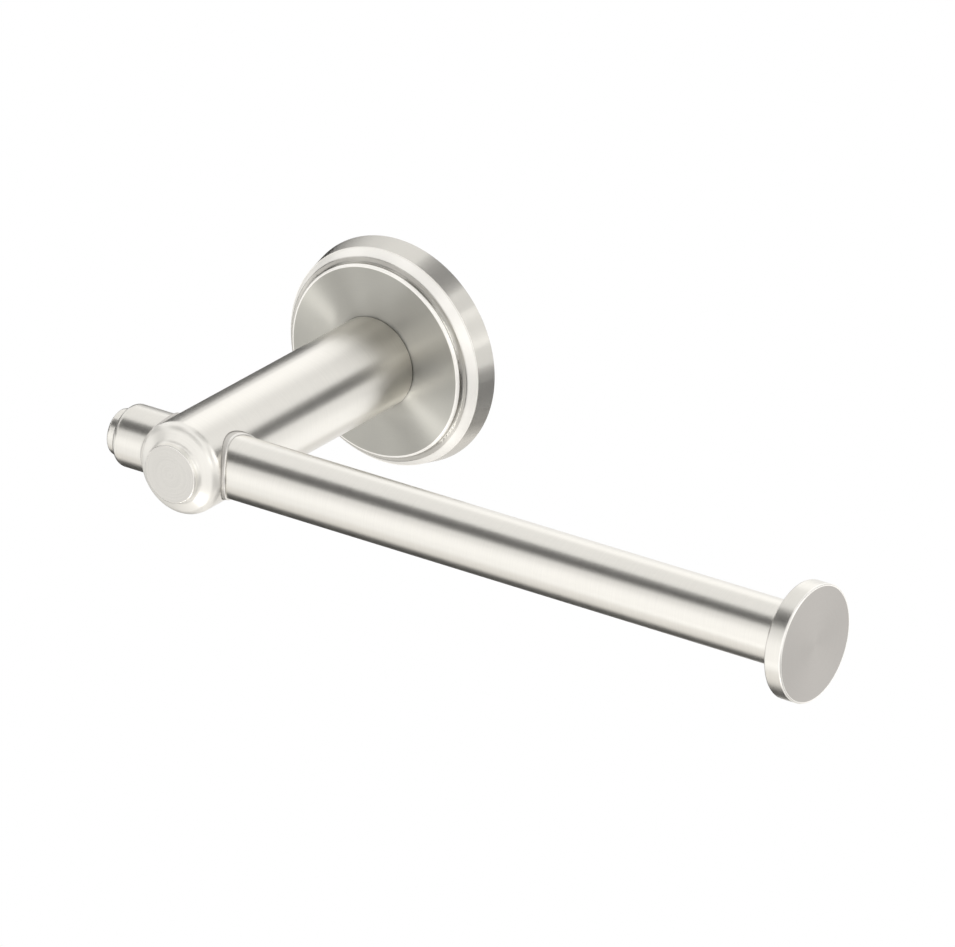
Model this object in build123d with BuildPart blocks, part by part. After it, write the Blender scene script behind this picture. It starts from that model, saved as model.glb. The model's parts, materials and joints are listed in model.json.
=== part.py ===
from build123d import *

import os
from math import hypot, radians, sqrt, tan

# Wall-mounted toilet roll holder: a round rose carries a post, and a round arm passes through
# the post near its front end. A disc at the arm's right end keeps the roll on.
# The wall is the plane y = 0 and the origin is the centre of the rose on it.
# -Y points out of the wall, +X runs along the arm towards the disc, and +Z is up.

# Rose: a turned cup with a drafted rim, a rounded shoulder and a raised flat face
rose_radius = 25.0
rose_depth = 8.0
rim_draft = 1.0
rim_ledge = 0.15
rim_wall = 5.4
shoulder_width = 1.45
shoulder_height = 1.9
shoulder_round = 6.0
face_height = 1.5
face_setback = 3.7
face_edge_round = 0.55
face_foot_round = 0.6
face_wall = 2.0

# Wall bracket: a ring with a V-groove under its front rim, held by two countersunk screws
bracket_front_gap = 0.4
bracket_lead_in = 0.6
groove_depth = 2.1
groove_start = 0.8
groove_height = 2.6
screw_hole_radius = 2.25
screw_head_radius = 4.1
screw_head_angle = 90
washer_room = 0.5

# Set screw in the underside of the rim, which grips the groove
set_screw_radius = 1.5
set_screw_length = 5.0
set_screw_from_wall = 2.2
set_screw_tip_radius = 0.4
set_screw_tip_gap = 0.15
set_screw_key = 1.5
set_screw_key_depth = 1.6

# Post: a turned bar with a rounded sloping nose and a low boss
post_radius = 10.0
post_foot_chamfer = 0.25
arm_from_wall = 67.6
nose_length = 11.2
nose_width = 3.6
nose_slope = 26.0
nose_round = 2.3
nose_boss_height = 1.27
nose_boss_round = 0.35
nose_cove = 1.0
spigot_radius = 4.5
spigot_relief = 0.2
lip_wall = 0.35
lip_height = 0.8
lip_round = 0.2
lip_groove_width = 0.15
lip_groove_depth = 0.25

# Fastening of the post to the rose: one bolt with two washers, and a dowel against turning
bolt_radius = 2.5
bolt_length = 18.0
bolt_hole_spare = 3.0
bolt_head_radius = 4.75
bolt_head_height = 2.75
bolt_head_land = 0.7
bolt_key = 3.0
bolt_key_depth = 1.6
washer_radius = 7.0
washer_thickness = 1.2
lock_washer_radius = 4.4
lock_washer_thickness = 1.2
lock_washer_split = 0.8
dowel_radius = 1.25
dowel_length = 8.0
dowel_offset = 6.8
dowel_chamfer = 0.3

# Arm: a tube closed by a stepped cap at the left and by the end stop at the right
arm_radius = 6.7
arm_wall = 1.5
roll_space = 136.6
stub_overhang = 8.75
cap_flange = 1.75
cap_edge_round = 1.5
cap_boss_radius = 5.0
cap_boss_height = 2.25
cap_boss_round = 0.6
cap_shank_past_axis = 9.0

# Lock screw in the underside of the post, whose plain point enters the cap's shank
lock_screw_radius = 2.5
lock_screw_recess = 0.3
lock_point_radius = 1.75
lock_point_bite = 1.6
lock_key = 2.5
lock_key_depth = 1.5

# End stop: a plain disc on a spigot, drawn up by a stud in a bush inside the tube
stop_radius = 12.3
stop_thickness = 4.0
stop_front_round = 0.3
stop_back_round = 0.4
stop_spigot_length = 4.0
bush_length = 10.0
bush_gap = 0.2
stud_radius = 2.5
stud_length = 14.0
stud_chamfer = 0.4
stud_in_disc = 2.0
stud_key = 2.5
stud_key_depth = 2.0

# Clearances
turn_clearance = 0.1
thread_clearance = 0.05
slip_clearance = 0.05
seat_clearance = 0.02
hole_clearance = 0.15
blind_clearance = 0.3

# How far cutting tools overrun the faces that they pass
overrun = 2.0

# Sizes that follow from the ones above
rim_front_radius = rose_radius - rim_draft
rim_ledge_radius = rim_front_radius - rim_ledge
shoulder_radius = rim_ledge_radius - shoulder_width
shoulder_depth = rose_depth - face_height
rim_height = shoulder_depth - shoulder_height
face_radius = rose_radius - face_setback
cup_radius = rose_radius - rim_wall
cup_depth = rose_depth - face_wall
bracket_radius = cup_radius - turn_clearance
bracket_thickness = cup_depth - bracket_front_gap
bracket_opening = washer_radius + washer_room
groove_radius = bracket_radius - groove_depth
groove_end = groove_start + groove_height
groove_slope = groove_depth / groove_height
screw_offset = (bracket_opening + bracket_radius) / 2
set_screw_tip = (
    groove_radius
    + groove_slope * (set_screw_from_wall + set_screw_tip_radius - groove_start)
    + set_screw_tip_gap
)
set_screw_end = set_screw_tip + set_screw_length
nose_tip = arm_from_wall + nose_length
nose_foot = nose_tip - nose_boss_height
nose_corner = nose_foot - nose_width * tan(radians(nose_slope))
nose_boss_radius = post_radius - nose_width
spigot_start = cup_depth + spigot_relief
washer_start = cup_depth - washer_thickness
lock_washer_start = washer_start - lock_washer_thickness
bolt_head_start = lock_washer_start - bolt_head_height
bolt_tip = lock_washer_start + bolt_length
bolt_dome_height = bolt_head_height - bolt_head_land
bolt_dome_round = (bolt_head_radius**2 + bolt_dome_height**2) / (2 * bolt_dome_height)
bore_radius = arm_radius - arm_wall
shank_radius = bore_radius - seat_clearance
stub_end = post_radius + stub_overhang
cap_seam = stub_end - cap_flange
cap_tip = stub_end + cap_boss_height
cross_bore_radius = arm_radius + slip_clearance
collar_radius = cross_bore_radius + lip_wall
lip_radius = post_radius + lip_height
arm_end = post_radius + roll_space
stop_face = arm_end + stop_thickness
spigot_end = arm_end - stop_spigot_length
bush_start = spigot_end - bush_gap - bush_length
stud_end = arm_end + stud_in_disc
stud_start = stud_end - stud_length
lock_screw_end = post_radius - lock_screw_recess
lock_point_start = cross_bore_radius + slip_clearance
lock_point_tip = bore_radius - lock_point_bite

arm_axis = Axis((0, -arm_from_wall, 0), (1, 0, 0))
lock_axis = Axis((0, -arm_from_wall, 0), (0, 0, 1))


def out_of_wall(distance):
    """A plane parallel to the wall at a distance from it, facing out of the wall, with Z as its x."""
    return Plane(origin=(0, -distance, 0), x_dir=(0, 0, 1), z_dir=(0, -1, 0))


def along_arm(distance):
    """A plane square to the arm at a distance from the post's axis, with Y as its x and Z as its y."""
    return Plane(origin=(distance, -arm_from_wall, 0), x_dir=(0, 1, 0), z_dir=(1, 0, 0))


def below(height):
    """A horizontal plane at a height under the axes, facing down, with X as its x."""
    return Plane(origin=(0, 0, -height), x_dir=(1, 0, 0), z_dir=(0, 0, -1))


def key_circle(across_flats):
    """The radius of the circle through the corners of a hexagon key."""
    return across_flats / sqrt(3)


def on_lip(edge):
    """Whether the middle of an edge lies on the rim of a collar, at its full height over the post."""
    middle = edge @ 0.5
    return abs(hypot(middle.X, middle.Z) - lip_radius) < seat_clearance


# Wall bracket
with BuildPart() as wall_bracket:
    with BuildSketch(Plane.XY):
        with BuildLine():
            Polyline(
                (bracket_opening, 0),
                (groove_radius, 0),
                (groove_radius, -groove_start),
                (bracket_radius, -groove_end),
                (bracket_radius, bracket_lead_in - bracket_thickness),
                (bracket_radius - bracket_lead_in, -bracket_thickness),
                (bracket_opening, -bracket_thickness),
                close=True,
            )
        make_face()
    revolve(axis=Axis.Y)
    with Locations(out_of_wall(bracket_thickness)):
        with GridLocations(2 * screw_offset, 0, 2, 1):
            CounterSinkHole(
                screw_hole_radius,
                screw_head_radius,
                counter_sink_angle=screw_head_angle,
            )

# Rose
with BuildPart() as rose:
    with BuildSketch(Plane.XY) as rose_section:
        with BuildLine():
            Polyline(
                (rose_radius, 0),
                (rim_front_radius, -rim_height),
                (rim_ledge_radius, -rim_height),
            )
            RadiusArc(
                (rim_ledge_radius, -rim_height),
                (shoulder_radius, -shoulder_depth),
                shoulder_round,
            )
            Polyline(
                (shoulder_radius, -shoulder_depth),
                (face_radius, -shoulder_depth),
                (face_radius, -rose_depth),
                (spigot_radius + slip_clearance, -rose_depth),
                (spigot_radius + slip_clearance, -cup_depth),
                (cup_radius, -cup_depth),
                (cup_radius, 0),
                (rose_radius, 0),
            )
        make_face()
        face_corner = rose_section.vertices().sort_by_distance((face_radius, -rose_depth))[0]
        fillet(face_corner, face_edge_round)
        face_foot = rose_section.vertices().sort_by_distance((face_radius, -shoulder_depth))[0]
        fillet(face_foot, face_foot_round)
    revolve(axis=Axis.Y)
    with BuildSketch(out_of_wall(cup_depth - overrun)):
        with Locations((dowel_offset, 0)):
            Circle(dowel_radius + slip_clearance)
    extrude(amount=face_wall + 2 * overrun, mode=Mode.SUBTRACT)
    with BuildSketch(below(cup_radius - overrun)):
        with Locations((0, set_screw_from_wall)):
            Circle(set_screw_radius + thread_clearance)
    extrude(amount=rim_wall + 2 * overrun, mode=Mode.SUBTRACT)

# Set screw of the rose
with BuildPart() as rose_set_screw:
    with BuildSketch(Plane.XZ.offset(set_screw_from_wall)):
        with BuildLine():
            Polyline(
                (0, -set_screw_tip),
                (set_screw_tip_radius, -set_screw_tip),
                (set_screw_radius, set_screw_tip_radius - set_screw_radius - set_screw_tip),
                (set_screw_radius, -set_screw_end),
                (0, -set_screw_end),
                close=True,
            )
        make_face()
    revolve(axis=Axis((0, -set_screw_from_wall, 0), (0, 0, 1)))
    with BuildSketch(below(set_screw_end - set_screw_key_depth)):
        with Locations((0, set_screw_from_wall)):
            RegularPolygon(key_circle(set_screw_key), 6)
    extrude(amount=set_screw_key_depth + overrun, mode=Mode.SUBTRACT)

# Collars that stand out of the post round the arm, down to a skin over the post
with BuildPart() as collars:
    with BuildSketch(along_arm(0)):
        Circle(collar_radius)
    extrude(amount=lip_radius + overrun, both=True)
    with BuildSketch(out_of_wall(arm_from_wall - collar_radius - overrun)):
        Circle(lip_radius)
    extrude(amount=2 * (collar_radius + overrun), mode=Mode.INTERSECT)
    fillet(collars.edges().filter_by(on_lip), lip_round)

# Fine grooves round the feet of the collars
with BuildPart() as lip_grooves:
    with BuildSketch(along_arm(0)):
        Circle(collar_radius + lip_groove_width)
        Circle(collar_radius, mode=Mode.SUBTRACT)
    extrude(amount=lip_radius + overrun, both=True)
    with BuildSketch(out_of_wall(arm_from_wall - collar_radius - overrun)):
        Circle(post_radius - lip_groove_depth)
    extrude(amount=2 * (collar_radius + overrun), mode=Mode.SUBTRACT)

# Post
with BuildPart() as post:
    with BuildSketch(Plane.ZY) as post_section:
        with BuildLine():
            Polyline(
                (0, -rose_depth),
                (post_radius - post_foot_chamfer, -rose_depth),
                (post_radius, -rose_depth - post_foot_chamfer),
                (post_radius, -nose_corner),
                (nose_boss_radius, -nose_foot),
                (nose_boss_radius, -nose_tip),
                (0, -nose_tip),
                close=True,
            )
        make_face()
        post_corner = post_section.vertices().sort_by_distance((post_radius, -nose_corner))[0]
        fillet(post_corner, nose_round)
        boss_corner = post_section.vertices().sort_by_distance((nose_boss_radius, -nose_tip))[0]
        fillet(boss_corner, nose_boss_round)
        boss_foot = post_section.vertices().sort_by_distance((nose_boss_radius, -nose_foot))[0]
        fillet(boss_foot, nose_cove)
    revolve(axis=Axis.Y)
    add(lip_grooves.part, mode=Mode.SUBTRACT)
    add(collars.part)
    with BuildSketch(along_arm(0)):
        Circle(cross_bore_radius)
    extrude(amount=lip_radius + overrun, both=True, mode=Mode.SUBTRACT)
    with BuildSketch(out_of_wall(spigot_start)):
        Circle(spigot_radius)
    extrude(amount=rose_depth - spigot_start)
    with BuildSketch(out_of_wall(spigot_start)):
        Circle(bolt_radius + thread_clearance)
    extrude(amount=bolt_tip + bolt_hole_spare - spigot_start, mode=Mode.SUBTRACT)
    with BuildSketch(out_of_wall(rose_depth)):
        with Locations((dowel_offset, 0)):
            Circle(dowel_radius + slip_clearance)
    extrude(amount=cup_depth + dowel_length + blind_clearance - rose_depth, mode=Mode.SUBTRACT)
    with BuildSketch(below(0)):
        with Locations((0, arm_from_wall)):
            Circle(lock_screw_radius + thread_clearance)
    extrude(amount=post_radius + overrun, mode=Mode.SUBTRACT)

# Dowel between the rose and the post
with BuildPart() as post_dowel:
    with BuildSketch(out_of_wall(cup_depth)):
        with Locations((dowel_offset, 0)):
            Circle(dowel_radius)
    extrude(amount=dowel_length)
    chamfer(post_dowel.edges().filter_by(GeomType.CIRCLE), dowel_chamfer)

# Flat washer under the rose's face
with BuildPart() as post_flat_washer:
    with BuildSketch(out_of_wall(washer_start)):
        Circle(washer_radius)
        Circle(bolt_radius + hole_clearance, mode=Mode.SUBTRACT)
    extrude(amount=washer_thickness)

# Split lock washer
with BuildPart() as post_lock_washer:
    with BuildSketch(out_of_wall(lock_washer_start)):
        Circle(lock_washer_radius)
        Circle(bolt_radius + hole_clearance, mode=Mode.SUBTRACT)
        with Locations((0, lock_washer_radius)):
            Rectangle(lock_washer_split, 2 * lock_washer_radius, mode=Mode.SUBTRACT)
    extrude(amount=lock_washer_thickness)

# Button-head bolt that draws the post against the rose
with BuildPart() as post_bolt:
    with BuildSketch(Plane.XY):
        with BuildLine():
            Polyline(
                (0, -bolt_tip),
                (bolt_radius, -bolt_tip),
                (bolt_radius, -lock_washer_start),
                (bolt_head_radius, -lock_washer_start),
                (bolt_head_radius, bolt_head_land - lock_washer_start),
            )
            head_dome = RadiusArc(
                (bolt_head_radius, bolt_head_land - lock_washer_start),
                (0, -bolt_head_start),
                -bolt_dome_round,
            )
            Line(head_dome @ 1, (0, -bolt_tip))
        make_face()
    revolve(axis=Axis.Y)
    with BuildSketch(out_of_wall(bolt_head_start)):
        RegularPolygon(key_circle(bolt_key), 6)
    extrude(amount=bolt_key_depth, mode=Mode.SUBTRACT)

# Arm tube
with BuildPart() as arm_tube:
    with BuildSketch(along_arm(-cap_seam)):
        Circle(arm_radius)
        Circle(bore_radius, mode=Mode.SUBTRACT)
    extrude(amount=arm_end + cap_seam)
    with BuildSketch(below(0)):
        with Locations((0, arm_from_wall)):
            Circle(lock_point_radius + hole_clearance)
    extrude(amount=arm_radius + overrun, mode=Mode.SUBTRACT)

# Stepped cap at the left end of the arm, with a long shank that backs the tube inside the post
with BuildPart() as arm_end_cap:
    with BuildSketch(Plane.XY) as cap_section:
        with BuildLine():
            Polyline(
                (cap_shank_past_axis, -arm_from_wall),
                (cap_shank_past_axis, shank_radius - arm_from_wall),
                (-cap_seam, shank_radius - arm_from_wall),
                (-cap_seam, arm_radius - arm_from_wall),
                (-stub_end, arm_radius - arm_from_wall),
                (-stub_end, cap_boss_radius - arm_from_wall),
                (-cap_tip, cap_boss_radius - arm_from_wall),
                (-cap_tip, -arm_from_wall),
                close=True,
            )
        make_face()
        cap_corner = cap_section.vertices().sort_by_distance((-stub_end, arm_radius - arm_from_wall))[0]
        fillet(cap_corner, cap_edge_round)
        cap_boss_corner = cap_section.vertices().sort_by_distance((-cap_tip, cap_boss_radius - arm_from_wall))[0]
        fillet(cap_boss_corner, cap_boss_round)
    revolve(axis=arm_axis)
    with BuildSketch(below(lock_point_tip - blind_clearance)):
        with Locations((0, arm_from_wall)):
            Circle(lock_point_radius + hole_clearance)
    extrude(amount=bore_radius, mode=Mode.SUBTRACT)

# Lock screw of the arm
with BuildPart() as arm_lock_screw:
    with BuildSketch(Plane.XZ.offset(arm_from_wall)):
        with BuildLine():
            Polyline(
                (0, -lock_point_tip),
                (lock_point_radius, -lock_point_tip),
                (lock_point_radius, -lock_point_start),
                (lock_screw_radius, -lock_point_start),
                (lock_screw_radius, -lock_screw_end),
                (0, -lock_screw_end),
                close=True,
            )
        make_face()
    revolve(axis=lock_axis)
    with BuildSketch(below(lock_screw_end - lock_key_depth)):
        with Locations((0, arm_from_wall)):
            RegularPolygon(key_circle(lock_key), 6)
    extrude(amount=lock_key_depth + overrun, mode=Mode.SUBTRACT)

# Threaded bush inside the right end of the tube
with BuildPart() as end_bush:
    with BuildSketch(along_arm(bush_start)):
        Circle(bore_radius - seat_clearance)
        Circle(stud_radius + thread_clearance, mode=Mode.SUBTRACT)
    extrude(amount=bush_length)

# Stud between the bush and the end stop
with BuildPart() as end_stop_stud:
    with BuildSketch(along_arm(stud_start)):
        Circle(stud_radius)
    extrude(amount=stud_length)
    chamfer(end_stop_stud.edges().filter_by(GeomType.CIRCLE), stud_chamfer)
    with BuildSketch(along_arm(stud_start)):
        RegularPolygon(key_circle(stud_key), 6)
    extrude(amount=stud_key_depth, mode=Mode.SUBTRACT)

# End stop
with BuildPart() as end_stop:
    with BuildSketch(Plane.XY) as stop_section:
        with BuildLine():
            Polyline(
                (stop_face, -arm_from_wall),
                (stop_face, stop_radius - arm_from_wall),
                (arm_end, stop_radius - arm_from_wall),
                (arm_end, shank_radius - arm_from_wall),
                (spigot_end, shank_radius - arm_from_wall),
                (spigot_end, -arm_from_wall),
                close=True,
            )
        make_face()
        front_corner = stop_section.vertices().sort_by_distance((stop_face, stop_radius - arm_from_wall))[0]
        fillet(front_corner, stop_front_round)
        back_corner = stop_section.vertices().sort_by_distance((arm_end, stop_radius - arm_from_wall))[0]
        fillet(back_corner, stop_back_round)
    revolve(axis=arm_axis)
    with BuildSketch(along_arm(stud_end)):
        Circle(stud_radius + thread_clearance)
    extrude(amount=-(stud_end - spigot_end), mode=Mode.SUBTRACT)

pieces = {
    "wall_bracket": wall_bracket,
    "rose": rose,
    "rose_set_screw": rose_set_screw,
    "post": post,
    "post_dowel": post_dowel,
    "post_bolt": post_bolt,
    "post_lock_washer": post_lock_washer,
    "post_flat_washer": post_flat_washer,
    "arm_tube": arm_tube,
    "arm_end_cap": arm_end_cap,
    "arm_lock_screw": arm_lock_screw,
    "end_bush": end_bush,
    "end_stop_stud": end_stop_stud,
    "end_stop": end_stop,
}

os.makedirs("parts", exist_ok=True)
for name, piece in pieces.items():
    piece.part.label = name
    export_step(piece.part, f"parts/{name}.step")
    print(name, round(piece.part.volume), "mm3")
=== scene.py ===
"""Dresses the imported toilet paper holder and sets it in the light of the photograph."""

import json
import logging
import math
from dataclasses import dataclass
from enum import Enum

import bpy
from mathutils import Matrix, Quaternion, Vector


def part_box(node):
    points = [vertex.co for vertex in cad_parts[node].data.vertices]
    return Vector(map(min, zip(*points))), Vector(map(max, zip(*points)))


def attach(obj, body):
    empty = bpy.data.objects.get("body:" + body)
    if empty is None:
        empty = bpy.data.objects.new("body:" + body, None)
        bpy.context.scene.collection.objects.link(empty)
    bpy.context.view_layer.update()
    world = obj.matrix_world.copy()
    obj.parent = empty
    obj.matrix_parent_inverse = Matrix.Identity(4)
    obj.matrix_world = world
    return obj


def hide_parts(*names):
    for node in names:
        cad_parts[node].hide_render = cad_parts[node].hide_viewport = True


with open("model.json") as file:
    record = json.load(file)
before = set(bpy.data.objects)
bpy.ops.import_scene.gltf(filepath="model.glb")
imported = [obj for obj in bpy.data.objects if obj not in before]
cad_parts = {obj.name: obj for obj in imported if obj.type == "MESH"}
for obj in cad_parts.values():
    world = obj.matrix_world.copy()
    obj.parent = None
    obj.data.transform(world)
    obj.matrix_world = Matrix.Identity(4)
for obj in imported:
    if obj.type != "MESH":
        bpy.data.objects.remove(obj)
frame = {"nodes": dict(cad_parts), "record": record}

Tree = bpy.types.NodeTree
Socket = bpy.types.NodeSocket
Material = bpy.types.Material
Place = tuple[float, float, float]
Span = tuple[float, float]

MM = 0.001

# Points nearer than the first are one point, and edges shorter than the second are dissolved.
DOUBLE_GAP = 0.0001 * MM
SLIVER_EDGE = 0.001 * MM

# The Mix node's sockets share their names, so they go by number: under, over and result.
MIX_SOCKETS = {"RGBA": (6, 7, 2), "FLOAT": (2, 3, 0)}

# The arm's axis runs along X through the seat of the roll.
ROLL_SEAT = next(mount for mount in frame["record"]["mounts"] if mount["name"] == "roll_seat")
ARM_AXIS = (0.0, ROLL_SEAT["pos_m"][1] / MM, ROLL_SEAT["pos_m"][2] / MM)

log = logging.getLogger("toilet_paper_holder")


class Axis(Enum):
    """An axis that a piece was turned about or that a screw lies along."""

    X = "X"
    Y = "Y"
    Z = "Z"

    @property
    def number(self) -> int:
        """Gives the place of the axis in a vector."""
        return "XYZ".index(self.value)


def linear(hex_colour: str) -> tuple[float, float, float, float]:
    """Turns an sRGB hex colour into linear light.

    Args:
        hex_colour: Six hex digits after a hash sign.

    Returns:
        Red, green and blue in linear light, and an alpha of 1.
    """
    channels = [int(hex_colour[i : i + 2], 16) / 255 for i in (1, 3, 5)]
    light = [c / 12.92 if c <= 0.04045 else ((c + 0.055) / 1.055) ** 2.4 for c in channels]
    return (*light, 1.0)


def add_node(
    tree: Tree,
    kind: str,
    inputs: dict[str | int, object] | None = None,
    **settings: object,
) -> bpy.types.Node:
    """Adds one shader node with its settings, values and links.

    Args:
        tree: The node tree that gets the node.
        kind: The kind of node, without the word ShaderNode.
        inputs: What each input gets, by its name or number. A socket is linked, and a value is set.
        **settings: The node's own properties.

    Returns:
        The new node.
    """
    node = tree.nodes.new("ShaderNode" + kind)
    for name, value in settings.items():
        setattr(node, name, value)
    for key, value in (inputs or {}).items():
        if isinstance(value, Socket):
            tree.links.new(value, node.inputs[key])
        else:
            node.inputs[key].default_value = value
    return node


def empty_tree(owner: Material | bpy.types.World) -> Tree:
    """Gives a material or a world an empty node tree.

    Args:
        owner: The material or the world.

    Returns:
        Its node tree.
    """
    owner.use_nodes = True
    owner.node_tree.nodes.clear()
    return owner.node_tree


def direction(azimuth: float, elevation: float) -> Vector:
    """Gives a unit vector.

    Args:
        azimuth: Degrees round from +X towards +Y.
        elevation: Degrees above the horizon.

    Returns:
        The vector that points that way.
    """
    turn = math.radians(azimuth)
    rise = math.radians(elevation)
    flat = math.cos(rise)
    return Vector((flat * math.cos(turn), flat * math.sin(turn), math.sin(rise)))


def millimetres(tree: Tree, centre: Place) -> Socket:
    """Gives the place of a point of a piece in millimetres from a centre.

    Args:
        tree: The node tree of the material.
        centre: The centre, in millimetres.

    Returns:
        The place.
    """
    place = add_node(tree, "TexCoord").outputs["Object"]
    inputs = {0: place, 1: (1 / MM,) * 3, 2: [-c for c in centre]}
    return add_node(tree, "VectorMath", inputs, operation="MULTIPLY_ADD").outputs["Vector"]


def lathe_coordinates(tree: Tree, axis: Axis, centre: Place) -> tuple[Socket, Socket]:
    """Works out where a point of a piece lies in the lathe.

    Args:
        tree: The node tree of the material.
        axis: The turning axis.
        centre: A point on the turning axis, in millimetres.

    Returns:
        The distance from the turning axis and the place along it, both in millimetres.
    """
    place = millimetres(tree, centre)
    squash = [0.0 if i == axis.number else 1.0 for i in range(3)]
    across = add_node(tree, "VectorMath", {0: place, 1: squash}, operation="MULTIPLY").outputs["Vector"]
    radius = add_node(tree, "VectorMath", {0: across}, operation="LENGTH").outputs["Value"]
    along = add_node(tree, "SeparateXYZ", {"Vector": place}).outputs[axis.number]
    return radius, along


@dataclass(frozen=True)
class Zone:
    """A ring of a turned surface with its own tone and finish. Several zones paint highlights and shade.

    Attributes:
        colour: The tone of the metal there.
        roughness: How coarse the finish is there.
        radius: Smallest and largest distance from the turning axis, in millimetres.
        reach: Smallest and largest place along the turning axis, in millimetres.
        metallic: The share that is bare metal. The rest is a matt share that lights up evenly,
        which in the bright zones adds to the painted highlight.
        blend: How wide the soft edge of the zone is, in millimetres.
        axis: The axis of the ring, where it isn't the piece's own.
        centre: A point on that axis, in millimetres.
    """

    colour: str
    roughness: float
    radius: Span
    reach: Span
    metallic: float = 1.0
    blend: float = 0.1
    axis: Axis | None = None
    centre: Place = (0.0, 0.0, 0.0)

    def mask(self, tree: Tree, lathe: tuple[Socket, Socket]) -> Socket:
        """Makes a mask that is 1 inside the zone and 0 outside it.

        Args:
            tree: The node tree of the material.
            lathe: The distance from the piece's turning axis and the place along it.

        Returns:
            The mask.
        """
        if self.axis:
            lathe = lathe_coordinates(tree, self.axis, self.centre)
        mask = None
        for value, (low, high) in zip(lathe, (self.radius, self.reach)):
            for outside, inside in ((low - self.blend, low), (high + self.blend, high)):
                inputs = {"Value": value, "From Min": outside, "From Max": inside}
                edge = add_node(tree, "MapRange", inputs, interpolation_type="SMOOTHSTEP").outputs["Result"]
                if mask:
                    edge = add_node(tree, "Math", {0: mask, 1: edge}, operation="MULTIPLY").outputs["Value"]
                mask = edge
        return mask


@dataclass(frozen=True)
class TurnedMetal:
    """Metal that was finished while it spun in the lathe.

    The brush or the tool leaves fine rings round the turning axis. They draw each highlight out
    across the rings, so a bar shows long bands and a flat face shows wedges that meet at its centre.

    Attributes:
        axis: The turning axis.
        centre: A point on the turning axis, in millimetres.
        colour: The tone on the crests of the rings.
        roughness: How coarse the finish is.
        roughness_swing: How much that changes from ring to ring.
        anisotropy: How much coarser it is across the rings than along them.
        ring_spacing: Millimetres between rings. The real ones are finer than the picture shows.
        streak_length: Millimetres that a ring runs before the brush lifts.
        ring_detail: How many finer rings lie within a ring.
        ring_breakup: How strong the finer rings are.
        ring_depth: The depth of the rings in the bump, in millimetres.
        ring_strength: The share of that depth that the bump shows.
        ring_shade: How much darker the rings are than their crests.
        cloud_size: Millimetres across the soft clouds that wiping and handling leave.
        cloud_detail: How many finer clouds lie within a cloud.
        cloud_shade: How much darker the clouds are.
        zones: Rings of the surface with their own tone and finish, several of them painted highlights and
            shade.
    """

    axis: Axis
    centre: Place = (0.0, 0.0, 0.0)
    colour: str = "#E7E4DD"
    roughness: float = 0.30
    roughness_swing: float = 0.04
    anisotropy: float = 0.3
    ring_spacing: float = 0.35
    streak_length: float = 6.0
    ring_detail: float = 2.0
    ring_breakup: float = 0.6
    ring_depth: float = 0.001
    ring_strength: float = 0.5
    ring_shade: float = 0.1
    cloud_size: float = 14.0
    cloud_detail: float = 4.0
    cloud_shade: float = 0.03
    zones: tuple[Zone, ...] = ()

    def material(self, name: str) -> Material:
        """Makes the material.

        Args:
            name: The name of the material.

        Returns:
            The material.
        """
        material = bpy.data.materials.new(name)
        tree = empty_tree(material)
        lathe = lathe_coordinates(tree, self.axis, self.centre)
        rings = self.rings(tree, lathe[0])
        tone, brush, metal = self.layers(tree, lathe)
        if not isinstance(tone, Socket):
            tone = tone[:3]
        swing = {0: rings, 1: 2 * self.roughness_swing, 2: -self.roughness_swing}
        change = add_node(tree, "Math", swing, operation="MULTIPLY_ADD").outputs["Value"]
        grooves = {"Strength": self.ring_strength, "Distance": self.ring_depth * MM, "Height": rings}
        shaded = {0: tone, "Scale": self.shade(tree, rings)}
        inputs = {
            "Base Color": add_node(tree, "VectorMath", shaded, operation="SCALE").outputs["Vector"],
            "Metallic": metal,
            "Roughness": add_node(tree, "Math", {0: brush, 1: change}, operation="ADD").outputs["Value"],
            "Normal": add_node(tree, "Bump", grooves).outputs["Normal"],
        }
        if self.anisotropy:
            # The tangent runs along the rings. A quarter turn draws the highlights out across them.
            ring_line = add_node(tree, "Tangent", direction_type="RADIAL", axis=self.axis.value)
            inputs["Tangent"] = ring_line.outputs["Tangent"]
            inputs["Anisotropic"] = self.anisotropy
            inputs["Anisotropic Rotation"] = 0.25
        shader = add_node(tree, "BsdfPrincipled", inputs)
        add_node(tree, "OutputMaterial", {"Surface": shader.outputs["BSDF"]})
        return material

    def rings(self, tree: Tree, radius: Socket) -> Socket:
        """Draws the rings as streaks that are long round the axis and narrow every other way.

        Args:
            tree: The node tree of the material.
            radius: The distance from the turning axis.

        Returns:
            A pattern from 0 in the rings to 1 on their crests.
        """
        stretch = [1 / self.streak_length] * 3
        stretch[self.axis.number] = 1 / self.ring_spacing
        place = {0: millimetres(tree, self.centre), 1: stretch}
        outward = {0: radius, 1: self.ring_spacing}
        noise = {
            "Vector": add_node(tree, "VectorMath", place, operation="MULTIPLY").outputs["Vector"],
            "W": add_node(tree, "Math", outward, operation="DIVIDE").outputs["Value"],
            "Scale": 1.0,
            "Detail": self.ring_detail,
            "Roughness": self.ring_breakup,
        }
        return add_node(tree, "TexNoise", noise, noise_dimensions="4D").outputs["Fac"]

    def shade(self, tree: Tree, rings: Socket) -> Socket:
        """Works out how much of the tone the rings and the clouds leave.

        Args:
            tree: The node tree of the material.
            rings: The pattern of the rings.

        Returns:
            A factor that is 1 on average.
        """
        noise = {
            "Vector": add_node(tree, "TexCoord").outputs["Object"],
            "Scale": 1 / (self.cloud_size * MM),
            "Detail": self.cloud_detail,
        }
        clouds = add_node(tree, "TexNoise", noise).outputs["Fac"]
        base = 1 + (self.cloud_shade - self.ring_shade) / 2
        lifted = {0: rings, 1: self.ring_shade, 2: base}
        crests = add_node(tree, "Math", lifted, operation="MULTIPLY_ADD").outputs["Value"]
        dimmed = {0: clouds, 1: -self.cloud_shade, 2: crests}
        return add_node(tree, "Math", dimmed, operation="MULTIPLY_ADD").outputs["Value"]

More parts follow.
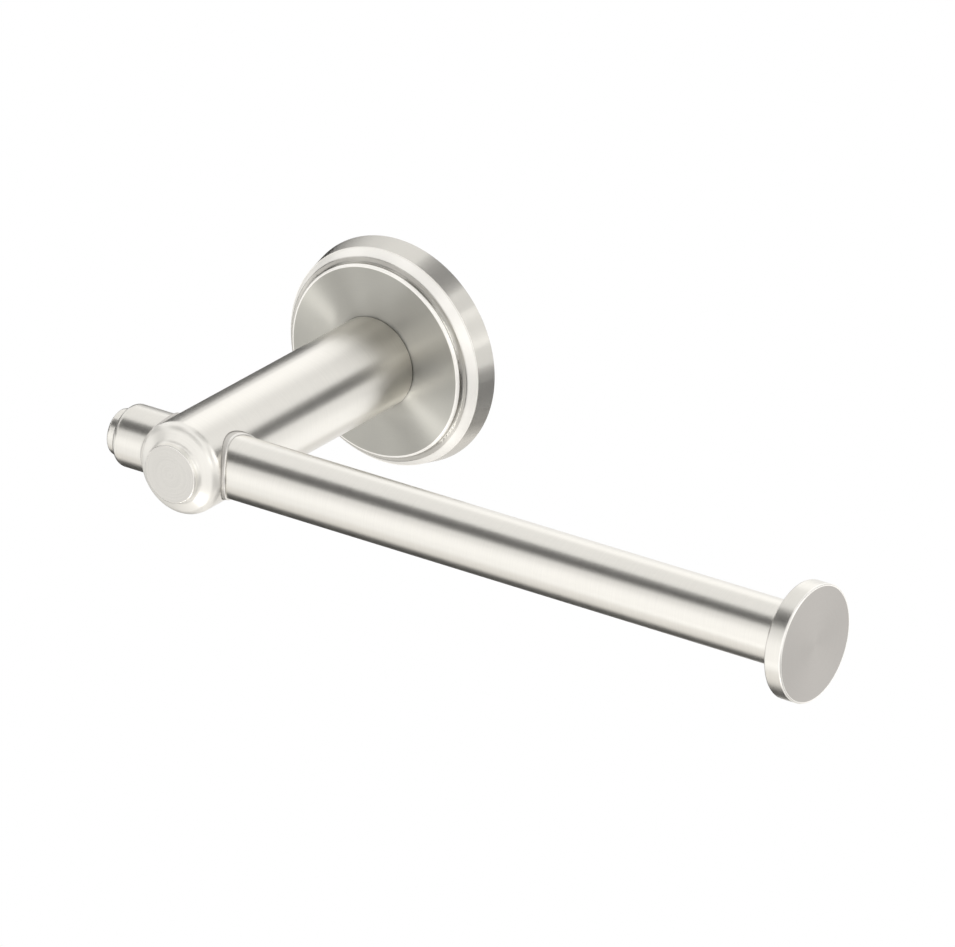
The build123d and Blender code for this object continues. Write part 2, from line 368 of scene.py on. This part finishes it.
    def layers(self, tree: Tree, lathe: tuple[Socket, Socket]) -> list[object]:
        """Lays the zones over the plain finish.

        Args:
            tree: The node tree of the material.
            lathe: The distance from the turning axis and the place along it.

        Returns:
            The tone, the roughness and the metallic share, each a socket, or a plain value where it
            is the same all over.
        """
        layers = [linear(self.colour), self.roughness, 1.0]
        for zone in self.zones:
            mask = zone.mask(tree, lathe)
            own = (linear(zone.colour), zone.roughness, zone.metallic)
            for i, kind in enumerate(("RGBA", "FLOAT", "FLOAT")):
                if layers[i] == own[i]:
                    continue
                under, over, result = MIX_SOCKETS[kind]
                inputs = {"Factor": mask, under: layers[i], over: own[i]}
                layers[i] = add_node(tree, "Mix", inputs, data_type=kind).outputs[result]
        return layers


@dataclass(frozen=True)
class SatinNickel(TurnedMetal):
    """Nickel plate on turned brass, brushed to a satin: warm grey with soft, drawn-out highlights."""


@dataclass(frozen=True)
class StainlessSteel(TurnedMetal):
    """Plain turned stainless steel: cooler and darker than nickel, with tool rings that show."""

    colour: str = "#C4C4C2"
    roughness: float = 0.24
    roughness_swing: float = 0.06
    anisotropy: float = 0.0
    ring_spacing: float = 0.25
    ring_depth: float = 0.006
    ring_shade: float = 0.16
    cloud_size: float = 4.0
    cloud_shade: float = 0.12


@dataclass(frozen=True)
class TurnedBrass(TurnedMetal):
    """Bare brass as it leaves the lathe: yellow, with bright tool rings and a dull film in clouds."""

    colour: str = "#D6B36C"
    roughness: float = 0.27
    roughness_swing: float = 0.06
    anisotropy: float = 0.4
    ring_spacing: float = 0.3
    ring_depth: float = 0.005
    ring_shade: float = 0.18
    cloud_size: float = 5.0
    cloud_shade: float = 0.2


@dataclass(frozen=True)
class ZincPlate:
    """Bright zinc plate on steel: bluish grey with small crystals and a faint straw-coloured film.

    Attributes:
        colour: The tone of the brightest crystals.
        dark: The tone of the darkest crystals.
        film: The tone of the film in the clouds.
        crystal_size: Millimetres across a crystal.
        cloud_size: Millimetres across a cloud of the film.
        cloud_detail: How many finer clouds lie within a cloud.
        film_edge: Where in the cloud pattern the film starts and where it is full.
        film_share: How much of the plate the full film covers.
        roughness: Lowest and highest roughness from crystal to crystal.
        grit: The depth of the rough steel under the plate, in millimetres.
        grit_strength: The share of that depth that the bump shows.
    """

    colour: str = "#D9DDE1"
    dark: str = "#CFD4D9"
    film: str = "#D8D2BE"
    crystal_size: float = 0.45
    cloud_size: float = 9.0
    cloud_detail: float = 5.0
    film_edge: Span = (0.45, 0.75)
    film_share: float = 0.6
    roughness: Span = (0.32, 0.42)
    grit: float = 0.002
    grit_strength: float = 0.3

    def material(self, name: str) -> Material:
        """Makes the material.

        Args:
            name: The name of the material.

        Returns:
            The material.
        """
        material = bpy.data.materials.new(name)
        tree = empty_tree(material)
        place = add_node(tree, "TexCoord").outputs["Object"]
        cells = add_node(tree, "TexVoronoi", {"Vector": place, "Scale": 1 / (self.crystal_size * MM)})
        crystal = add_node(tree, "SeparateXYZ", {"Vector": cells.outputs["Color"]}).outputs
        noise = {"Vector": place, "Scale": 1 / (self.cloud_size * MM), "Detail": self.cloud_detail}
        clouds = add_node(tree, "TexNoise", noise).outputs["Fac"]
        film_start, film_full = self.film_edge
        spread = {"Value": clouds, "From Min": film_start, "From Max": film_full, "To Max": self.film_share}
        film = add_node(tree, "MapRange", spread).outputs["Result"]
        under, over, result = MIX_SOCKETS["RGBA"]
        plate = {"Factor": crystal["X"], under: linear(self.dark), over: linear(self.colour)}
        bright = add_node(tree, "Mix", plate, data_type="RGBA").outputs[result]
        filmed = {"Factor": film, under: bright, over: linear(self.film)}
        smooth, coarse = self.roughness
        polish = {"Value": crystal["Y"], "To Min": smooth, "To Max": coarse}
        bumps = {"Strength": self.grit_strength, "Distance": self.grit * MM, "Height": crystal["Z"]}
        inputs = {
            "Base Color": add_node(tree, "Mix", filmed, data_type="RGBA").outputs[result],
            "Metallic": 1.0,
            "Roughness": add_node(tree, "MapRange", polish).outputs["Result"],
            "Normal": add_node(tree, "Bump", bumps).outputs["Normal"],
        }
        shader = add_node(tree, "BsdfPrincipled", inputs)
        add_node(tree, "OutputMaterial", {"Surface": shader.outputs["BSDF"]})
        return material


def wear(node: str, material: Material) -> None:
    """Puts a material on a CAD node and reports it.

    Args:
        node: The name of the node.
        material: The material that it gets.
    """
    slots = frame["nodes"][node].data.materials
    slots.clear()
    slots.append(material)
    log.info("%s wears %s", node, material.name)


def select_only(piece: bpy.types.Object) -> None:
    """Selects one object and makes it the active one.

    Args:
        piece: The object.
    """
    bpy.ops.object.select_all(action="DESELECT")
    bpy.context.view_layer.objects.active = piece
    piece.select_set(True)


def trace(name: str, points: list[Span], closed: bool) -> bpy.types.Object:
    """Draws an outline by extruding one vertex from point to point, and leaves it in edit mode.

    Args:
        name: The name of the new object.
        points: Distances from the Z axis and heights, in millimetres.
        closed: Whether the last point is joined to the first.

    Returns:
        The object that holds the outline.
    """
    bpy.ops.object.select_all(action="DESELECT")
    bpy.ops.mesh.primitive_plane_add(size=MM)
    piece = bpy.context.active_object
    piece.name = name
    bpy.ops.object.mode_set(mode="EDIT")
    bpy.ops.mesh.select_mode(type="VERT")
    bpy.ops.mesh.select_all(action="SELECT")
    bpy.ops.mesh.merge(type="CENTER")
    here = (0.0, 0.0)
    for number, (radius, height) in enumerate(points):
        step = {"value": ((radius - here[0]) * MM, 0.0, (height - here[1]) * MM)}
        if number:
            bpy.ops.mesh.extrude_region_move(TRANSFORM_OT_translate=step)
        else:
            bpy.ops.transform.translate(**step)
        here = (radius, height)
    bpy.ops.mesh.select_all(action="SELECT")
    if closed:
        bpy.ops.mesh.edge_face_add()
        bpy.ops.mesh.delete(type="ONLY_FACE")
        bpy.ops.mesh.select_all(action="SELECT")
    return piece


def close_shell() -> None:
    """Merges doubles, closes open ends and turns the faces outwards, in edit mode."""
    bpy.ops.mesh.select_all(action="SELECT")
    bpy.ops.mesh.remove_doubles(threshold=DOUBLE_GAP)
    bpy.ops.mesh.fill_holes(sides=0)
    bpy.ops.mesh.select_all(action="SELECT")
    bpy.ops.mesh.normals_make_consistent(inside=False)
    bpy.ops.object.mode_set(mode="OBJECT")


def cut_away(piece: bpy.types.Object, cutter: bpy.types.Object) -> None:
    """Cuts one solid out of another and deletes the cutter.

    Args:
        piece: The solid that is cut.
        cutter: The solid that is taken out of it.
    """
    select_only(piece)
    bpy.ops.object.modifier_add(type="BOOLEAN")
    cut = piece.modifiers[-1]
    cut.operation = "DIFFERENCE"
    cut.solver = "EXACT"
    cut.object = cutter
    bpy.ops.object.modifier_apply(modifier=cut.name)
    bpy.data.objects.remove(cutter)
    bpy.ops.object.mode_set(mode="EDIT")
    bpy.ops.mesh.select_all(action="SELECT")
    bpy.ops.mesh.dissolve_degenerate(threshold=SLIVER_EDGE)
    close_shell()


@dataclass(frozen=True)
class ThreadedScrew:
    """A screw turned from bar, with a cut thread and a hexagon socket in its driven end.

    It takes the place of a plain CAD node and stays inside it.

    Attributes:
        name: The name of the piece.
        node: The CAD node that it stands for.
        body: The body that carries it.
        axis: The axis that it lies along.
        forward: 1 where its tip points up the axis, and -1 where it points down it.
        outline: Radii and places along the screw, from the driven end to the tip, in millimetres.
        thread: Where the thread starts and ends along the screw, in millimetres.
        radius: The outside radius of the thread, in millimetres.
        pitch: Millimetres from thread to thread.
        key: The width of the socket across its flats, in millimetres.
        key_depth: The depth of the socket, in millimetres.
        steps: How many straight runs make up one turn.
        depth_share: The depth of the thread as a share of its pitch.
        overrun: How far the cutters reach past the metal, in millimetres.
        sharp_angle: The angle between faces past which an edge looks sharp, in degrees.
    """

    name: str
    node: str
    body: str
    axis: Axis
    forward: int
    outline: tuple[Span, ...]
    thread: Span
    radius: float
    pitch: float
    key: float
    key_depth: float
    steps: int = 48
    depth_share: float = 0.6
    overrun: float = 0.2
    sharp_angle: float = 32.0

    def build(self) -> None:
        """Turns the blank, cuts the socket and the thread, and puts the finished screw in its place."""
        piece = self.turn_blank()
        cut_away(piece, self.socket_cutter())
        cut_away(piece, self.thread_cutter())
        start = self.put_in_place(piece)
        finish = StainlessSteel(self.axis, tuple(c / MM for c in start))
        piece.data.materials.append(finish.material(f"stainless_steel_{self.name}"))
        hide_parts(self.node)
        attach(piece, self.body)
        log.info("%s stands for %s with %d faces", self.name, self.node, len(piece.data.polygons))

    def turn_blank(self) -> bpy.types.Object:
        """Spins the outline into a solid.

        Returns:
            The blank, with its driven end at the origin and its tip up.
        """
        piece = trace(self.name, list(self.outline), closed=False)
        bpy.ops.mesh.spin(steps=self.steps, angle=2 * math.pi, center=(0, 0, 0), axis=(0, 0, 1))
        close_shell()
        return piece

    def socket_cutter(self) -> bpy.types.Object:
        """Makes a hexagonal bar that fills the socket.

        Returns:
            The bar.
        """
        length = self.key_depth + self.overrun
        bpy.ops.object.select_all(action="DESELECT")
        bpy.ops.mesh.primitive_cylinder_add(
            vertices=6,
            radius=self.key / math.sqrt(3) * MM,
            depth=length * MM,
            location=(0, 0, (self.key_depth - length / 2) * MM),
        )
        return bpy.context.active_object

    def thread_cutter(self) -> bpy.types.Object:
        """Winds the groove between the threads into a coil.

        Returns:
            The coil.
        """
        crest = self.radius
        root = crest - self.depth_share * self.pitch
        outside = crest + self.overrun
        # A metric thread is flat over a quarter of its pitch at the root and an eighth at the crest.
        floor = self.pitch / 8
        mouth = self.pitch * 7 / 16
        side = [(root, floor), (crest, mouth), (outside, mouth)]
        groove = [(r, -z) for r, z in side] + side[::-1]
        first, last = self.thread
        coil = trace("groove", [(r, z + first) for r, z in groove], closed=True)
        bpy.ops.object.mode_set(mode="OBJECT")
        bpy.ops.object.modifier_add(type="SCREW")
        winding = coil.modifiers[-1]
        winding.axis = "Z"
        winding.angle = 2 * math.pi
        winding.screw_offset = self.pitch * MM
        winding.iterations = int((last - first) / self.pitch)
        winding.steps = self.steps
        winding.render_steps = self.steps
        winding.use_merge_vertices = True
        bpy.ops.object.modifier_apply(modifier=winding.name)
        bpy.ops.object.mode_set(mode="EDIT")
        close_shell()
        return coil

    def put_in_place(self, piece: bpy.types.Object) -> Vector:
        """Lays the screw along its axis with its tip where the CAD node's tip is.

        Args:
            piece: The screw.

        Returns:
            The middle of its driven end, in metres.
        """
        low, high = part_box(self.node)
        along = self.axis.number
        tip = high if self.forward > 0 else low
        start = (Vector(low) + Vector(high)) / 2
        start[along] = tip[along] - self.forward * self.outline[-1][1] * MM
        point = Vector((0.0, 0.0, 0.0))
        point[along] = self.forward
        piece.rotation_euler = point.to_track_quat("Z", "Y").to_euler()
        piece.location = start
        select_only(piece)
        bpy.ops.object.transform_apply(location=True, rotation=True, scale=True)
        bpy.ops.object.shade_smooth_by_angle(angle=math.radians(self.sharp_angle))
        return start


def dome(radius: float, height: float, steps: int = 10) -> tuple[Span, ...]:
    """Traces a round head from its crown to its edge.

    Args:
        radius: The radius of the head, in millimetres.
        height: The height of the dome, in millimetres.
        steps: How many straight runs make up the curve.

    Returns:
        Radii and places along the screw, from the crown at 0, in millimetres.
    """
    curve = (radius**2 + height**2) / (2 * height)
    half = math.asin(radius / curve)
    angles = [half * i / steps for i in range(steps + 1)]
    return tuple((curve * math.sin(a), curve * (1 - math.cos(a))) for a in angles)


@dataclass
class WallFixing:
    """The bracket on the wall, and the set screw under the rim that grips its groove.

    Attributes:
        plate: The zinc plate of the bracket.
        set_screw: The set screw, whose cone point reaches into the groove.
    """

    plate: ZincPlate = ZincPlate()
    set_screw: ThreadedScrew = ThreadedScrew(
        name="threaded_set_screw",
        node="rose_set_screw",
        body="set_screw",
        axis=Axis.Z,
        forward=1,
        outline=((0, 0), (1.3, 0), (1.5, 0.2), (1.5, 3.9), (0.4, 5.0), (0, 5.0)),
        thread=(-0.25, 3.75),
        radius=1.5,
        pitch=0.5,
        key=1.5,
        key_depth=1.6,
    )

    def build(self) -> None:
        """Makes the set screw."""
        self.set_screw.build()

    def dress(self) -> None:
        """Plates the bracket."""
        wear("wall_bracket", self.plate.material("bright_zinc_plate"))


@dataclass
class Rose:
    """The stepped round cover on the wall.

    Attributes:
        finish: Nickel with a coarser face toned darker as painted shade, painted shade in the hollow beside
            it, and painted highlights on the bead and the thin ring.
    """

    finish: SatinNickel = SatinNickel(
        Axis.Y,
        colour="#D8D5CE",
        roughness=0.23,
        roughness_swing=0.02,
        anisotropy=1.0,
        ring_spacing=0.25,
        ring_shade=0.07,
        zones=(
            # Painted shade: the face of the rose is toned darker than the rest.
            Zone("#C7C5BD", 0.42, radius=(0.0, 20.75), reach=(-9.0, -7.9)),
            # Painted shade: the hollow between the bead and the face ring is toned darker.
            Zone("#C6C3BC", 0.32, radius=(21.4, 22.4), reach=(-7.5, -5.5)),
            # Painted highlight: the bead is near white, with a matt share that lights up evenly.
            Zone("#FAF7F1", 0.36, radius=(22.75, 23.9), reach=(-6.5, -4.65), metallic=0.25, blend=0.4),
            # Painted highlight on the thin ring round the face, with a matt share that lights up evenly.
            Zone("#FFFCF6", 0.30, radius=(20.8, 21.35), reach=(-9.0, -7.4), metallic=0.25),
        ),
    )

    def dress(self) -> None:
        """Brushes the rose."""
        wear("rose", self.finish.material("satin_nickel_rose_with_painted_light"))


@dataclass
class Post:
    """The round post and what fastens it to the rose.

    Attributes:
        finish: Nickel with a painted highlight on the nose, a finer nose face, a painted shadow line at the
        foot, and painted highlights on the lips with a painted shadow line round the arm.
        washer_steel: The steel of both washers.
        bolt: The bolt that pulls the post on to the rose.
    """

    finish: SatinNickel = SatinNickel(
        Axis.Y,
        colour="#E9E6DF",
        zones=(
            # Painted highlight: the nose chamfer is toned pale, with a matt share that lights up evenly.
            Zone("#EEEBE4", 0.33, radius=(6.4, 10.1), reach=(-78.5, -75.0), metallic=0.42, blend=0.5),
            Zone("#D8D5CF", 0.20, radius=(0.0, 6.05), reach=(-80.0, -78.7)),
            # Painted shadow along the joint where the post stands on the rose.
            Zone("#6F6C68", 0.45, radius=(0.0, 11.0), reach=(-8.3, -7.0), blend=0.05),
            # Painted highlight on the lips round the arm, with a matt share that lights up evenly.
            Zone(
                "#F1EEE8",
                0.30,
                radius=(6.6, 7.08),
                reach=(-12.0, 12.0),
                metallic=0.55,
                blend=0.03,
                axis=Axis.X,
                centre=ARM_AXIS,
            ),
            # Painted shadow line at the foot of the lips round the arm.
            Zone(
                "#CFCCC6",
                0.50,
                radius=(7.1, 7.25),
                reach=(-12.0, 12.0),
                metallic=0.6,
                blend=0.03,
                axis=Axis.X,
                centre=ARM_AXIS,
            ),
        ),
    )
    washer_steel: StainlessSteel = StainlessSteel(Axis.Y)
    bolt: ThreadedScrew = ThreadedScrew(
        name="threaded_post_bolt",
        node="post_bolt",
        body="holder",
        axis=Axis.Y,
        forward=-1,
        outline=(
            *dome(4.75, 2.05),
            (4.75, 2.6),
            (4.6, 2.75),
            (2.5, 2.75),
            (2.5, 20.35),
            (2.1, 20.75),
            (0, 20.75),
        ),
        thread=(5.6, 21.2),
        radius=2.5,
        pitch=0.8,
        key=3.0,
        key_depth=1.6,
    )

    def build(self) -> None:
        """Makes the bolt."""
        self.bolt.build()

    def dress(self) -> None:
        """Brushes the post and dresses the washers and the dowel in plain steel."""
        wear("post", self.finish.material("satin_nickel_post_with_painted_light"))
        steel = self.washer_steel.material("stainless_steel_washers")
        for node in ("post_flat_washer", "post_lock_washer"):
            wear(node, steel)
        low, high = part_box("post_dowel")
        middle = (Vector(low) + Vector(high)) / 2 / MM
        wear("post_dowel", StainlessSteel(Axis.Y, tuple(middle)).material("stainless_steel_dowel"))


@dataclass
class Arm:
    """The arm, the cap at its left end and the screw that holds it in the post.

    Attributes:
        finish: The nickel of the arm and its cap.
        lock_screw: The screw, whose plain point reaches into the arm.
    """

    finish: SatinNickel = SatinNickel(Axis.X, ARM_AXIS)
    lock_screw: ThreadedScrew = ThreadedScrew(
        name="threaded_lock_screw",
        node="arm_lock_screw",
        body="holder",
        axis=Axis.Z,
        forward=1,
        outline=((0, 0), (2.2, 0), (2.5, 0.3), (2.5, 2.9), (1.75, 2.9), (1.75, 5.9), (1.55, 6.1), (0, 6.1)),
        thread=(-0.4, 2.8),
        radius=2.5,
        pitch=0.8,
        key=2.5,
        key_depth=1.5,
    )

    def build(self) -> None:
        """Makes the lock screw."""
        self.lock_screw.build()

    def dress(self) -> None:
        """Brushes the arm and its cap in one go, as they were polished together."""
        material = self.finish.material("satin_nickel_arm")
        for node in ("arm_tube", "arm_end_cap"):
            wear(node, material)


@dataclass
class EndStop:
    """The disc at the right end, and the stud and bush that hold it.

    Attributes:
        finish: Nickel with painted shade on the face and a painted highlight on the front edge.
        brass: The bare brass of the bush.
        stud: The stud between the bush and the disc.
    """

    finish: SatinNickel = SatinNickel(
        Axis.X,
        ARM_AXIS,
        colour="#E5E2DB",
        zones=(
            # Painted shade: the face of the disc is toned darker.
            Zone("#B5B1AC", 0.30, radius=(0.0, 11.85), reach=(150.5, 151.0)),
            # Painted highlight on the disc's front edge, with a matt share that lights up evenly.
            Zone("#F7F4EE", 0.32, radius=(11.95, 12.4), reach=(150.2, 151.0), metallic=0.5),
        ),
    )
    brass: TurnedBrass = TurnedBrass(Axis.X, ARM_AXIS)
    stud: ThreadedScrew = ThreadedScrew(
        name="threaded_stop_stud",
        node="end_stop_stud",
        body="holder",
        axis=Axis.X,
        forward=1,
        outline=((0, 0), (2.1, 0), (2.5, 0.4), (2.5, 13.6), (2.1, 14.0), (0, 14.0)),
        thread=(-0.4, 14.4),
        radius=2.5,
        pitch=0.8,
        key=2.5,
        key_depth=2.0,
    )

    def build(self) -> None:
        """Makes the stud."""
        self.stud.build()

    def dress(self) -> None:
        """Brushes the disc and leaves the bush in bare brass."""
        wear("end_stop", self.finish.material("satin_nickel_stop_with_painted_light"))
        wear("end_bush", self.brass.material("turned_brass"))


@dataclass(frozen=True)
class Card:
    """A dark oval card, which the metal mirrors as a soft dark band.

    Attributes:
        name: The name of the card.
        azimuth: Degrees round from +X towards +Y, seen from the object.
        elevation: Degrees above the horizon.
        half_length: The angle from the middle of the card to its far ends, in degrees.
        half_width: The angle from the middle of the card to its sides, in degrees.
        tilt: The turn of the card's length from level, in degrees.
    """

    name: str
    azimuth: float
    elevation: float
    half_length: float
    half_width: float
    tilt: float = 0.0


@dataclass(frozen=True)
class Lamp:
    """A round soft lamp, which the metal mirrors brighter than the white round it.

    Attributes:
        name: The name of the lamp.
        azimuth: Degrees round from +X towards +Y, seen from the object.
        elevation: Degrees above the horizon.
        half_angle: The angle from the middle of the lamp to its edge, in degrees.
        level: How much brighter it is than the white surroundings, whose brightness is 1.
    """

    name: str
    azimuth: float
    elevation: float
    half_angle: float
    level: float


# Azimuth, elevation, half length, half width and tilt.
CARDS = (
    Card("card_over_arm", -140, 44, 17, 17),
    Card("card_over_rose", 35, 73, 20, 20),
    Card("card_beside_post", 50, 14, 26, 11, -20),
    Card("card_under_rose", 25, -41, 33, 20, -60),
    Card("card_left_of_post", 135, -2, 18, 11, 90),
    Card("card_left_low", 155, -26, 30, 25, 75),
    Card("card_under_arm", 165, -58, 18, 15, 30),
    Card("card_right_over_nose", -25, 30, 25, 7, 60),
    Card("card_over_face", -90, 42, 21, 13, -45),
    Card("card_left_of_face", -168, 9, 33, 9),
    Card("card_right_under_nose", -37, -26, 28, 19),
    Card("card_under_face", -115, -74, 14, 5, 15),
)

# Azimuth, elevation, half angle and level.
LAMPS = (
    Lamp("lamp_front", -115, -3, 19, 0.25),
    Lamp("lamp_right", 68, -29, 17, 0.4),
    Lamp("lamp_back", 113, 30, 17, 0.3),
    Lamp("lamp_low_front", -93, -52, 7, 6.0),
    Lamp("lamp_low_middle", -110, -30, 8, 0.8),
    Lamp("lamp_right_of_rim", 10, 22, 17, 1.2),
    Lamp("lamp_right_of_nose", -55, 11, 7, 2.5),
)


@dataclass
class Studio:
    """White surroundings with dark cards and soft lamps, a pale floor and the photograph's camera.

    Its lengths are in millimetres.

    Attributes:
        aim: The point that the camera looks at and that the cards and lamps hang round.
        distance: From the camera to that point.
        azimuth: Degrees round to the camera from +X towards +Y.
        elevation: Degrees up to the camera.
        roll: Degrees that the camera is turned about its line of sight.
        lens: The focal length of the camera.
        sensor: The width of its sensor.
        far_clip: How far the camera sees.
        floor_drop: From the centre of the rose down to the floor.
        floor_radius: The radius of the floor.
        floor_sides: How many straight runs make up the edge of the floor.
        card_distance: From the aim to the cards.
        card_sides: How many straight runs make up the edge of a card.
        lamp_distance: From the aim to the lamps, which hang in front of the cards.
        background: The colour of the surroundings.
        floor_colour: The colour of the floor.
        card_colour: The colour of the cards.
    """

    aim: Place = (49.2, -40.1, -0.5)
    distance: float = 2453.9
    azimuth: float = -54.79
    elevation: float = 24.36
    roll: float = -0.62
    lens: float = 454.73
    sensor: float = 36.0
    far_clip: float = 100000.0
    floor_drop: float = 1700.0
    floor_radius: float = 2000.0
    floor_sides: int = 96
    card_distance: float = 1200.0
    card_sides: int = 64
    lamp_distance: float = 1150.0
    background: str = "#FFFFFF"
    floor_colour: str = "#EDEBE8"
    card_colour: str = "#333333"

    def build(self) -> None:
        """Makes the surroundings, the floor, the cards, the lamps and the camera."""
        self.build_world()
        self.build_floor()
        dark = self.matt("dark_card", self.card_colour)
        for card in CARDS:
            self.build_card(card, dark)
        for lamp in LAMPS:
            self.build_lamp(lamp)
        self.build_camera()

    def build_world(self) -> None:
        """Makes surroundings that are white to the camera and to the metal."""
        world = bpy.data.worlds.new("white_surroundings")
        bpy.context.scene.world = world
        tree = empty_tree(world)
        light = add_node(tree, "Background", {"Color": linear(self.background), "Strength": 1.0})
        add_node(tree, "OutputWorld", {"Surface": light.outputs["Background"]})

    def matt(self, name: str, colour: str) -> Material:
        """Makes a plain matt material for the stage.

        Args:
            name: The name of the material.
            colour: Its colour.

        Returns:
            The material.
        """
        material = bpy.data.materials.new(name)
        tree = empty_tree(material)
        shader = add_node(tree, "BsdfDiffuse", {"Color": linear(colour)})
        add_node(tree, "OutputMaterial", {"Surface": shader.outputs["BSDF"]})
        return material

    def build_floor(self) -> None:
        """Lays a round pale floor well under the object."""
        bpy.ops.object.select_all(action="DESELECT")
        bpy.ops.mesh.primitive_circle_add(
            vertices=self.floor_sides,
            radius=self.floor_radius * MM,
            fill_type="NGON",
            location=(self.aim[0] * MM, self.aim[1] * MM, -self.floor_drop * MM),
        )
        floor = bpy.context.active_object
        floor.name = "floor"
        floor.data.materials.append(self.matt("pale_floor", self.floor_colour))

    def build_card(self, card: Card, material: Material) -> None:
        """Hangs one dark card that only the metal sees.

        Args:
            card: Where the card hangs and how large it looks from the object.
            material: What the card is made of.
        """
        outward = direction(card.azimuth, card.elevation)
        spin = Quaternion((0, 0, 1), math.radians(card.tilt))
        reach = self.card_distance * MM
        bpy.ops.object.select_all(action="DESELECT")
        bpy.ops.mesh.primitive_circle_add(
            vertices=self.card_sides,
            radius=1.0,
            fill_type="NGON",
            location=Vector(self.aim) * MM + outward * reach,
            rotation=(outward.to_track_quat("Z", "Y") @ spin).to_euler(),
        )
        flag = bpy.context.active_object
        flag.name = card.name
        flag.scale.x = reach * math.tan(math.radians(card.half_length))
        flag.scale.y = reach * math.tan(math.radians(card.half_width))
        flag.visible_camera = False
        flag.visible_diffuse = False
        flag.visible_shadow = False
        flag.data.materials.append(material)

    def build_lamp(self, lamp: Lamp) -> None:
        """Hangs one soft lamp that the camera itself doesn't see.

        Args:
            lamp: Where the lamp hangs, how large it looks from the object and how bright it is.
        """
        outward = direction(lamp.azimuth, lamp.elevation)
        reach = self.lamp_distance * MM
        radius = reach * math.tan(math.radians(lamp.half_angle))
        data = bpy.data.lights.new(lamp.name, "AREA")
        data.shape = "DISK"
        data.size = 2 * radius
        # A flat lamp's brightness is its power over its area and over pi.
        area = math.pi * radius**2
        data.energy = lamp.level * math.pi * area
        soft = bpy.data.objects.new(lamp.name, data)
        bpy.context.scene.collection.objects.link(soft)
        soft.location = Vector(self.aim) * MM + outward * reach
        soft.rotation_euler = outward.to_track_quat("Z", "Y").to_euler()
        soft.visible_camera = False

    def build_camera(self) -> None:
        """Sets up the long lens that took the photograph."""
        back = direction(self.azimuth, self.elevation)
        turn = back.to_track_quat("Z", "Y") @ Quaternion((0, 0, 1), math.radians(-self.roll))
        data = bpy.data.cameras.new("camera")
        data.lens = self.lens
        data.sensor_width = self.sensor
        data.clip_end = self.far_clip * MM
        camera = bpy.data.objects.new("camera", data)
        bpy.context.scene.collection.objects.link(camera)
        camera.location = (Vector(self.aim) + back * self.distance) * MM
        camera.rotation_euler = turn.to_euler()
        bpy.context.scene.camera = camera


def main() -> None:
    """Builds and dresses the sub-assemblies and sets the stage."""
    logging.basicConfig(level=logging.INFO, format="%(name)s: %(message)s")
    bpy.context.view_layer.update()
    for assembly in (WallFixing(), Post(), Arm(), EndStop()):
        assembly.build()
        assembly.dress()
    Rose().dress()
    Studio().build()
    bpy.context.scene.view_settings.view_transform = "Standard"


if __name__ == "__main__":
    main()
